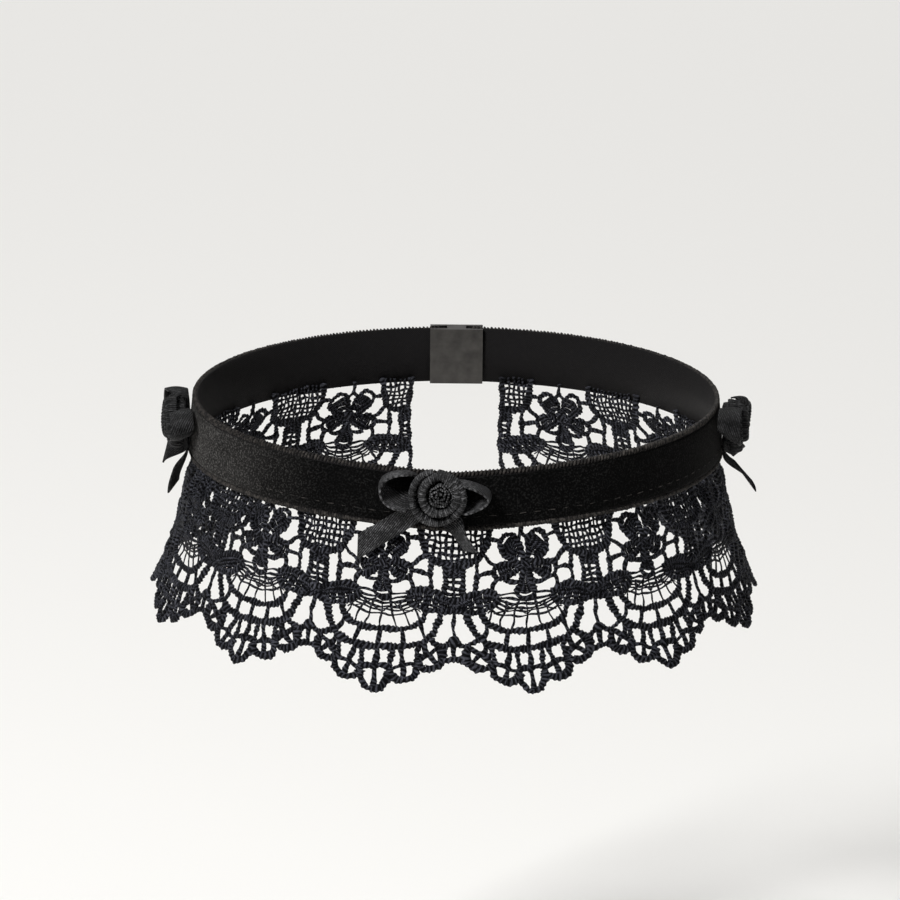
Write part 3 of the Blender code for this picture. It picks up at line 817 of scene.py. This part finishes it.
def netLines(lines):
    # each column and row is a nearly straight thread and a stray one that wanders about it
    stray = netting["strayThick"] * netting["gain"]
    for column in range(netting["columns"]):
        across = (column + 0.5) * netting["acrossPitch"]
        thick = (netting["columnThick"] + 0.03 * (column % 2)) * netting["gain"]
        downs = np.linspace(-1.5, 6.6, 20)
        keep = downs[cupHalf(downs) > across - 0.1]
        line = np.column_stack([half - across + 0.08 * np.sin(keep * 2.1 + column), keep])
        lines.addBoth(line, thick, -0.1)
        wander = np.column_stack([half - across + 0.26 * np.sin(keep * 1.3 + 2 * column), keep])
        lines.addBoth(wander, stray, 0.08)
    for row in range(netting["rows"]):
        down = 0.1 + row * netting["downPitch"]
        across = np.linspace(0, float(cupHalf(down)), 8)
        line = np.column_stack([half - across, down + 0.10 * np.sin(across * 1.7 + row)])
        lines.addBoth(line, netting["rowThick"] * netting["gain"], 0.02)
        wander = np.column_stack([half - across, down + 0.24 * np.sin(across * 1.1 + 1.7 * row + 1)])
        lines.addBoth(wander, stray, -0.05)


def rungLines(lines):
    # the ladder below each net cup
    reach, sag = rungs["reach"], rungs["sag"]
    for down in rungs["downs"]:
        rung = [(half - reach, down), (half - reach / 2, down + sag), (half, down)]
        lines.addBoth(rung, rungs["thick"])


def leafLines(lines):
    # stitches from the leaf's vein to its two edges
    top = smoothLine(fromCup(lowerCords["leafTop"][2]), 0.2)
    vein = smoothLine(fromCup(bars["leafVein"][2]), 0.2)
    foot = smoothLine(fromCup(lowerCords["leafFoot"][2][::-1]), 0.2)
    for share in np.arange(0.0, 0.97, stitch["upperLeafPitch"]):
        start = top[int(share * (len(top) - 1))]
        end = vein[int(min(1, share + 0.07) * (len(vein) - 1))]
        crown = (*((start + end) / 2), 0.2 + 0.1 * math.sin(60 * share))
        lines.addBoth([(*start, 0.0), crown, (*end, 0.1)], stitch["upperLeafThick"])
    for share in np.arange(0.02, 0.96, stitch["lowerLeafPitch"]):
        start = vein[int(share * (len(vein) - 1))]
        lean = 0.05 * math.sin(37 * share)
        end = foot[int(min(1, max(0, share - 0.02 + lean)) * (len(foot) - 1))]
        crown = (*((start + end) / 2), 0.1 + lean)
        lines.addBoth([(*start, 0.1), crown, (*end, 0.0)], stitch["lowerLeafThick"])


def knotMesh():
    shape = bmesh.new()
    for across, down, wide, tall in knots.values():
        for side in (1,) if across in (0, half) else (1, -1):
            level = (lace["laceMiddle"] + lace["knotLift"]) * mm
            place = Matrix.Translation((side * across * mm, -down * mm, level))
            place @= Matrix.Diagonal((wide * mm, tall * mm, lace["knotDepth"] * mm, 1))
            bmesh.ops.create_uvsphere(shape, u_segments=14, v_segments=8, radius=1, matrix=place)
    grain = Random(7)
    flat, deep = lace["knotGrain"], lace["knotGrainDepth"]
    for corner in shape.verts:
        corner.co.x += grain.uniform(-flat, flat) * mm
        corner.co.y += grain.uniform(-flat, flat) * mm
        corner.co.z += grain.uniform(-deep, deep) * mm
    mesh = meshOf("laceKnots", shape)
    addAttribute(mesh, "along", [corner.co.x * 0.8 + corner.co.y * 0.6 for corner in mesh.vertices])
    return mesh


def warpLace(mesh):
    # no two repeats are stitched alike: slow drifts that every lace piece shares
    flat = readPoints(mesh)
    x, y = flat[:, 0] / mm, flat[:, 1] / mm
    broad, fine = lace["warpBroad"] * mm, lace["warpFine"] * mm
    flat[:, 0] += broad * (
        0.5 * np.sin(x * 0.131 + y * 0.21 + 1.0) + 0.4 * np.sin(x * 0.317 - y * 0.17))
    flat[:, 1] += broad * (
        0.4 * np.sin(x * 0.173 + 2.0) + 0.3 * np.sin(x * 0.411 + y * 0.23))
    flat[:, 0] += fine * np.sin(x * 1.73 + y * 1.31 + 0.5 * np.sin(y * 0.9))
    flat[:, 1] += fine * np.sin(y * 1.57 - x * 1.21 + 0.7 * np.sin(x * 0.7))
    flat[:, 2] += lace["warpDepth"] * mm * np.sin(x * 0.37 + y * 0.6)
    writePoints(mesh, flat)


def endLines(lines):
    # a whipped cord closes each cut end of the edging
    reach = half * lace["repeats"]
    downs = np.arange(-1.4, 27.4, 0.45)
    lines.addBoth(np.column_stack([np.full(len(downs), reach), downs]), lace["endThick"])


cordShape = {
    "Step": 0.26 * mm,
    "Sides": 8,
    "Flatness": 0.66,
    "Groove": 0.5,
    "Knob Pitch": 0.9 * mm,
    "Knob Depth": 0.42,
    "Twist": 1.6,
    "Uneven": 0.55,
    "Material": laceMaterial,
}
finerCords = {
    # what differs from cordShape in the finer pieces
    "laceBars": {"Step": 0.32 * mm, "Sides": 7, "Flatness": 0.8, "Groove": 0.0,
                 "Knob Pitch": 0.7 * mm, "Knob Depth": 0.2},
    "laceNet": {"Step": 0.42 * mm, "Sides": 5, "Flatness": 0.75, "Groove": 0.0, "Knob Depth": 0.15},
    "laceSatin": {"Step": 0.6 * mm, "Sides": 5, "Flatness": 0.8, "Groove": 0.0, "Knob Depth": 0.0,
                  "Uneven": 0.3},
}


def makeLacePiece(name, source, *nodes, repeats=lace["repeats"]):
    if isinstance(source, FlatLines):
        shape = cordShape | finerCords.get(name, {})
        source = grow(name + "Repeat", source.mesh(name + "Lines"), cords, shape)
    mesh = grow(name, source, rows, {
        "Count": repeats, "Pitch": lace["repeatWidth"] * mm, "Material": laceMaterial})
    warpLace(mesh)
    bendLace(mesh)
    return addPiece(name, mesh, "lace", laceMaterial, *nodes)


def makeLace():
    clover, scallop, barWork, net, satin, ends = (FlatLines() for _ in range(6))
    chartLines(clover, upperCords, lace["cordGain"], 0.12)
    chartLines(scallop, lowerCords, lace["cordGain"], 0.08)
    chartLines(barWork, bars, lace["barGain"])
    rungLines(barWork)
    netLines(net)
    chartLines(net, webs, 1.0, -0.05)
    for name in pads:
        padLines(satin, name)
    bottomPad(satin)
    leafLines(satin)
    endLines(ends)
    makeLacePiece("laceCloverCords", clover, "lace_trim")
    makeLacePiece("laceScallopCords", scallop)
    makeLacePiece("laceBars", barWork)
    makeLacePiece("laceNet", net)
    makeLacePiece("laceSatin", satin)
    makeLacePiece("laceKnots", knotMesh())
    makeLacePiece("laceEnds", ends, repeats=1)


makeLace()
print("lace done")


# Velvet band
band = {
    "stationStep": 1.0 * mm,
    "selvedge": 1.25 * mm,
    "selvedgeStep": 0.3 * mm,
    "ribPitch": 0.84 * mm,
    "ribSlant": math.radians(-24),
    "knitPitch": 0.62 * mm,
    "stitchPitch": 3.2 * mm,
    "stitchLength": 1.7 * mm,
    "stitchDrop": 9.8 * mm,
}


def makeBand():
    tall, wall, edge = collar["bandHeight"], collar["bandWall"], band["selvedge"]
    low = band["selvedgeStep"]
    profile = (
        (0.0002, -wall + 0.0001), (0.0001, -wall / 2), (0.0002, -low * 1.6), (edge * 0.5, -low),
        (edge, -low * 1.1), (edge + 0.00012, -0.00008), (edge + 0.0005, 0.00004),
        (tall * 0.33, 0.00010), (tall / 2, 0.00012), (tall * 0.67, 0.00010),
        (tall - edge - 0.0005, 0.00004), (tall - edge - 0.00012, -0.00008), (tall - edge, -low * 1.1),
        (tall - edge * 0.5, -low), (tall - 0.0002, -low * 1.6), (tall - 0.0001, -wall / 2),
        (tall - 0.0002, -wall + 0.0001), (tall / 2, -wall))
    reach = halfLoop - collar["endGap"] / 2
    count = int(2 * reach / band["stationStep"])
    corners, faces = [], []
    around = len(profile)
    for station in range(count + 1):
        across = reach * (2 * station / count - 1)
        corners += [(across, -drop, out) for drop, out in profile]
    for station in range(count):
        for side in range(around):
            near = station * around
            after = (side + 1) % around
            faces.append((near + side, near + side + around, near + after + around, near + after))
    faces.append(tuple(range(around)))
    faces.append(tuple(range(len(corners) - 1, len(corners) - 1 - around, -1)))
    mesh = meshFrom("velvetBand", corners, faces)
    mesh.shade_smooth()
    addAttribute(mesh, "pile", [
        float(edge < -level < tall - edge and out > -wall / 2) for _, level, out in corners])
    addAttribute(mesh, "run", [corner[0] for corner in corners])
    addAttribute(mesh, "level", [corner[1] for corner in corners])
    bendBand(mesh)
    return addPiece("velvetBand", faceOutward(mesh), "velvet", velvetMaterial, "velvet_band")


def bead(name, length, wide, deep, segments=10, rings=6):
    shape = bmesh.new()
    size = Matrix.Diagonal((wide / 2, length / 2, deep / 2, 1))
    bmesh.ops.create_uvsphere(shape, u_segments=segments, v_segments=rings, radius=1, matrix=size)
    return meshOf(name, shape)


def bandRow(name, unit, pitch, drop, out, slant, slantSpread, sizeSpread, seed):
    reach = halfLoop - collar["endGap"] / 2 - pitch
    mesh = grow(name, unit, rows, {
        "Count": int(2 * reach / pitch), "Pitch": pitch, "Slant": slant, "Slant Spread": slantSpread,
        "Size Spread": sizeSpread, "Seed": seed, "Material": selvedgeMaterial})
    flat = readPoints(mesh)
    flat[:, 1] -= drop
    flat[:, 2] += out
    writePoints(mesh, flat)
    bendBand(mesh)
    return addPiece(name, mesh, "velvet", selvedgeMaterial)


def makeBandTrim():
    edge, wall = band["selvedge"], collar["bandWall"]
    rib = bead("rib", edge * 1.25, band["ribPitch"] * 0.78, wall * 0.95)
    knit = bead("knit", edge * 1.05, band["knitPitch"] * 1.15, wall * 0.9, 8, 5)
    dash = bead("dash", 0.22 * mm, band["stitchLength"], 0.24 * mm, 8, 6)
    return [
        bandRow("topSelvedgeRibs", rib, band["ribPitch"], edge * 0.42, -wall / 2 + 0.0001,
                band["ribSlant"], 0.10, 0.08, 3),
        bandRow("footSelvedgeKnit", knit, band["knitPitch"], collar["bandHeight"] - edge * 0.5,
                -wall / 2 + 0.0001, 0.5, 0.5, 0.16, 5),
        bandRow("runningStitches", dash, band["stitchPitch"], band["stitchDrop"], 0.00007,
                0, 0.12, 0.25, 9)]


velvetBand = makeBand()
bandTrim = makeBandTrim()
print("band done")


# Bows and roses, in the frame of each seat: x along the band, -y out from it, z up
bow = {
    "drop": 5.0,
    "frontArc": -3.9,
    "sideArc": 86.0,
    "ribbonWidth": 5.0,
    "tailWidth": 4.5,
    "ribbonWall": 0.42,
    "twill": math.radians(-65),
    "knotOut": 1.3,
    "roseRadius": 5.8,
}
bowLoops = (
    # rims as the height of their middle and their half height, and how these swell along the loop
    {"side": -1, "reach": 11.6, "backRim": (2.9, 2.6), "frontRim": (1.4, 4.7), "swell": (0.75, 0.9)},
    {"side": 1, "reach": 11.3, "backRim": (0.9, 2.8), "frontRim": (0.1, 3.7), "swell": (1.1, 0.6)},
)
bowTails = {
    "front": (
        {"across": -16.7, "down": -12.0, "out": -0.5, "turn": 0, "slant": 1.6},
        {"across": 7.6, "down": -11.4, "out": 1.0, "turn": 52, "slant": 0.6}),
    "left": (
        {"across": -6.5, "down": -8.2, "out": 3.4, "turn": 20, "slant": 2.2},
        {"across": 5.8, "down": -13.4, "out": 2.2, "turn": 35, "slant": 1.8}),
    "right": (
        {"across": -3.6, "down": -11.2, "out": 3.4, "turn": 66, "slant": 2.6},
        {"across": 6.5, "down": -7.6, "out": 1.75, "turn": 30, "slant": 1.0}),
}


def seatMatrix(arc):
    angle = float(np.interp(abs(arc), ringArcs, ringAngles)) * (1 if arc >= 0 else -1)
    normal = Vector((math.sin(angle) / collar["halfWidth"], -math.cos(angle) / collar["halfDepth"], 0))
    turn = Vector((0, -1, 0)).angle(normal) * (1 if angle >= 0 else -1)
    place = Vector(onCollar(np.array([arc]), np.array([bow["drop"] * mm]), np.array([0.0]))[0])
    return Matrix.Translation(place) @ Matrix.Rotation(turn, 4, "Z")


def ribbonMesh(name, grid, wall, bias=0.0):
    # thin ribbon from rows of points across it, in millimetres; its UV map runs along it, turned by
    # the bias so that the ribs lie slanted
    grid = np.asarray(grid, float)
    count, wide = grid.shape[:2]
    normal = np.cross(np.gradient(grid, axis=0), np.gradient(grid, axis=1))
    normal /= np.maximum(np.linalg.norm(normal, axis=2, keepdims=True), 1e-9)
    face = grid + normal * wall / 2
    back = grid - normal * wall / 2
    runs, spans = (
        np.concatenate([[0], np.cumsum(np.linalg.norm(np.diff(line, axis=0), axis=1))])
        for line in (grid[:, wide // 2], grid[count // 2]))
    loop = np.concatenate([face, back[:, ::-1]], axis=1)
    around = 2 * wide
    corners = loop.reshape(-1, 3) * mm
    faces, uvs = [], []
    acrossRun = np.concatenate([spans, spans[::-1]])
    for row in range(count - 1):
        for side in range(around):
            after = (side + 1) % around
            faces.append((row * around + side, row * around + after,
                          (row + 1) * around + after, (row + 1) * around + side))
            uvs += [(runs[row], acrossRun[side]), (runs[row], acrossRun[after]),
                    (runs[row + 1], acrossRun[after]), (runs[row + 1], acrossRun[side])]
    for row in (0, count - 1):
        for side in range(wide - 1):
            ends = [row * around + side, row * around + around - 1 - side,
                    row * around + around - 2 - side, row * around + side + 1]
            faces.append(tuple(ends if row == 0 else ends[::-1]))
            uvs += [(runs[row], spans[side])] * 4
    mesh = meshFrom(name, corners, faces)
    layer = mesh.uv_layers.new(name="ribbonRun")
    uvs = np.array(uvs) * mm
    turned = np.column_stack([
        uvs[:, 0] * math.cos(bias) + uvs[:, 1] * math.sin(bias),
        uvs[:, 1] * math.cos(bias) - uvs[:, 0] * math.sin(bias)])
    layer.data.foreach_set("uv", turned.ravel())
    return faceOutward(mesh)


def joinMeshes(name, meshes, matrix):
    whole = bmesh.new()
    for part in meshes:
        whole.from_mesh(part)
    whole.transform(matrix)
    mesh = meshOf(name, whole)
    mesh.shade_smooth()
    return mesh


def loopGrid(loop):
    # the loop is a tube of ribbon that opens forward and down; its two rims are set apart
    rows = []
    across = np.linspace(0, 1, 9)
    for turn in np.linspace(math.radians(22), math.radians(338), 72):
        along = loop["reach"] * (1 - math.cos(turn)) / 2
        swell = loop["swell"][0] + (loop["swell"][1] - loop["swell"][0]) * along / loop["reach"]
        settle = smoothShare(along, 0.0, loop["reach"] * 0.55)
        free = smoothShare(along, 3.2, 6.6)
        front = bow["knotOut"] + (0.3 + bow["ribbonWidth"] - bow["knotOut"]) * free
        rims = []
        for middle, height in (loop["backRim"], loop["frontRim"]):
            rims.append(middle * settle + height * math.sin(turn) * swell)
        rims[1] = rims[0] + (rims[1] - rims[0]) * (0.35 + 0.65 * free)
        bulge = 0.35 * np.sin(across * math.pi)
        rows.append([(
            loop["side"] * (along + bulge[i] * free),
            -(0.35 + (front - 0.35) * across[i]),
            rims[0] + (rims[1] - rims[0]) * across[i] + bulge[i] * math.sin(turn))
            for i in range(len(across))])
    return rows


def tailGrid(tail):
    start = np.array([0.0, -0.95, -0.8])
    end = np.array([tail["across"], -0.95 - tail["out"], tail["down"]])
    along = np.array([end[0] - start[0], 0, end[2] - start[2]])
    run = np.linalg.norm(along)
    along /= run
    flat = np.array([-along[2], 0, along[0]])
    clear = bow["roseRadius"] / run
    rows = []
    for share in np.linspace(0, 1, 40):
        free = smoothShare(share, clear, 1.0)
        centre = start + (end - start) * share
        centre[1] = start[1] + (end[1] - start[1]) * free
        width = bow["tailWidth"] * (0.5 + 0.5 * smoothShare(share, 0.0, clear))
        turn = math.radians(tail["turn"]) * smoothShare(share, clear * 0.8, min(1.0, clear * 1.6))
        centre[1] -= width / 2 * math.sin(turn)
        edge = (flat * math.cos(turn) + np.array([0, -1, 0]) * math.sin(turn)) * width / 2
        rows.append([centre + edge * side + along * (tail["slant"] * share * side)
                     for side in np.linspace(-1, 1, 9)])
    return rows


roseRolls = (
    # rolled petals: their ring's middle, first angle and sweep in degrees, anticlockwise from the
    # wearer's left, radius at both ends, width, crest above the seat, height of the roll, rib pitch
    {"aside": 0.95, "up": 1.0, "from": 78, "sweep": 392, "start": 3.65, "end": 3.95, "width": 1.45,
     "crest": 6.2, "arch": 1.25, "ribs": 0.68},
    {"aside": 0.35, "up": 0.2, "from": 100, "sweep": 258, "start": 5.35, "end": 5.35, "width": 1.35,
     "crest": 5.0, "arch": 1.5, "ribs": 0.60},
    {"aside": 0.45, "up": 0.35, "from": -62, "sweep": 150, "start": 5.35, "end": 5.2, "width": 1.6,
     "crest": 5.7, "arch": 1.4, "ribs": 0.62},
)
rose = {
    "budAside": 1.15,
    "budUp": 1.25,
    "budRadius": 2.85,
    "budTurns": 3.1,
    "foot": 1.9,
    "top": 6.3,
    "ribDepth": 0.09,
    "budWall": 0.4,
    "rollWall": 0.34,
    "baseFoot": 4.2,
    "baseTop": 4.9,
    "baseDepth": 0.9,
}


def budGrid():
    # a strip coiled edge out, crumpled so that its turns don't lie evenly
    rows = []
    for share in np.linspace(0, 1, 230):
        turn = 2 * math.pi * rose["budTurns"] * share + 0.6
        radius = 0.32 + (rose["budRadius"] - 0.5) * share ** 0.85 + 0.13 * math.sin(2.7 * turn + 1)
        edge = rose["top"] - 0.5 * share + 0.30 * math.sin(2.3 * turn) + 0.20 * math.sin(6.1 * turn)
        rows.append([])
        for rise in np.linspace(0, 1, 9):
            spread = radius * (0.84 + 0.16 * rise) + 0.13 * rise * math.sin(5.3 * turn + 3 * rise)
            rows[-1].append((
                rose["budAside"] + spread * math.cos(turn),
                -(rose["foot"] + (edge - rose["foot"]) * rise),
                rose["budUp"] + spread * math.sin(turn)))
    return rows


def rollProfile(roll, fade, rib):
    # a petal's section as steps from its middle radius and out: up from its foot, over and under
    width = roll["width"] * (0.7 + 0.3 * fade) + rib
    crest = rose["foot"] + (roll["crest"] - rose["foot"]) * (0.5 + 0.5 * fade) + rib
    arch = roll["arch"] * (0.7 + 0.3 * fade)
    points = [(-width * 0.36, rose["foot"]), (-width * 0.48, (rose["foot"] + crest - arch) / 2)]
    for bend in np.radians(np.linspace(0, 215, 14)):
        points.append((-width / 2 * math.cos(bend), crest - arch + arch * math.sin(bend)))
    return points


def rollGrid(roll):
    rows = []
    sweep = math.radians(roll["sweep"])
    count = int(sweep * roll["end"] / 0.11)
    ribCount = sweep * (roll["start"] + roll["end"]) / 2 / roll["ribs"]
    for step in range(count + 1):
        share = step / count
        turn = math.radians(roll["from"]) + sweep * share
        fade = smoothShare(min(share, 1 - share), 0.0, 0.14)
        wobble = 0.5 * math.sin(11 * turn) + 0.4 * math.sin(5 * turn + 1)
        rib = rose["ribDepth"] * math.cos(2 * math.pi * ribCount * share + wobble)
        middle = roll["start"] + (roll["end"] - roll["start"]) * share + 0.12 * math.sin(3 * turn + 1)
        swell = 0.2 * math.sin(2 * turn + 0.5)
        rows.append([(
            roll["aside"] + (middle + aside) * math.cos(turn), -(out + swell * (out > 3)),
            roll["up"] + (middle + aside) * math.sin(turn))
            for aside, out in rollProfile(roll, fade, rib)])
    return rows


def roseBase():
    shape = bmesh.new()
    stand = Matrix.Translation((0, -rose["foot"] * mm, 0)) @ Matrix.Rotation(math.pi / 2, 4, "X")
    bmesh.ops.create_cone(shape, cap_ends=True, segments=40, radius1=rose["baseFoot"] * mm,
                          radius2=rose["baseTop"] * mm, depth=rose["baseDepth"] * mm, matrix=stand)
    return meshOf("roseBase", shape)


def roseMeshes():
    meshes = [ribbonMesh("bud", budGrid(), rose["budWall"])]
    meshes += [ribbonMesh("roll", rollGrid(roll), rose["rollWall"]) for roll in roseRolls]
    return meshes + [roseBase()]


def makeBows():
    for name, arc in (("front", bow["frontArc"]), ("left", -bow["sideArc"]), ("right", bow["sideArc"])):
        grids = [loopGrid(loop) for loop in bowLoops] + [tailGrid(tail) for tail in bowTails[name]]
        meshes = [ribbonMesh("ribbon", grid, bow["ribbonWall"], bow["twill"]) for grid in grids]
        matrix = seatMatrix(arc * mm)
        for piece, parts, node in (("BowRibbon", meshes, "_bow"), ("Rose", roseMeshes(), "_rose")):
            mesh = joinMeshes(name + piece, parts, matrix)
            addPiece(name + piece, mesh, "ribbon", ribbonMaterial, name + node)


makeBows()
print("bows done")

clasp = bpy.data.objects["back_clasp"]
clasp.data.materials.clear()
clasp.data.materials.append(claspMaterial)

# Studio
studio = {
    "floorDrop": 0.16,
    "floorHalf": 6.0,
    "paper": {"Base Color": (0.895, 0.885, 0.86, 1), "Roughness": 0.9, "Specular IOR Level": 0.1},
    "room": {"Color": (1.0, 0.99, 0.98, 1), "Strength": 0.07},
}
softboxes = {
    # place, target, size and power; the top one lights the floor behind
    "keySoftbox": ((-0.9, -1.1, 1.2), (0, 0, -0.01), 0.5, 40.0),
    "fillSoftbox": ((1.2, -0.8, 0.8), (0, 0, -0.01), 0.9, 4.0),
    "topSoftbox": ((0, 2.6, 2.6), (0, 2.5, -0.16), 2.8, 78.0),
}


def makeStudio():
    side, level = studio["floorHalf"], -studio["floorDrop"]
    corners = [(-side, -side, level), (side, -side, level), (side, side, level), (-side, side, level)]
    floor = newObject("studioFloor", meshFrom("studioFloor", corners, [(0, 1, 2, 3)]))
    floor.data.materials.append(newMaterial("palePaper", studio["paper"])[0])
    world = bpy.data.worlds.new("softRoom")
    world.use_nodes = True
    for socket, value in studio["room"].items():
        world.node_tree.nodes["Background"].inputs[socket].default_value = value
    bpy.context.scene.world = world
    for name, (place, target, size, power) in softboxes.items():
        data = bpy.data.lights.new(name, "AREA")
        data.size, data.energy = size, power
        aim(newObject(name, data), place, target)
    bpy.context.scene.view_settings.view_transform = "Standard"


makeStudio()
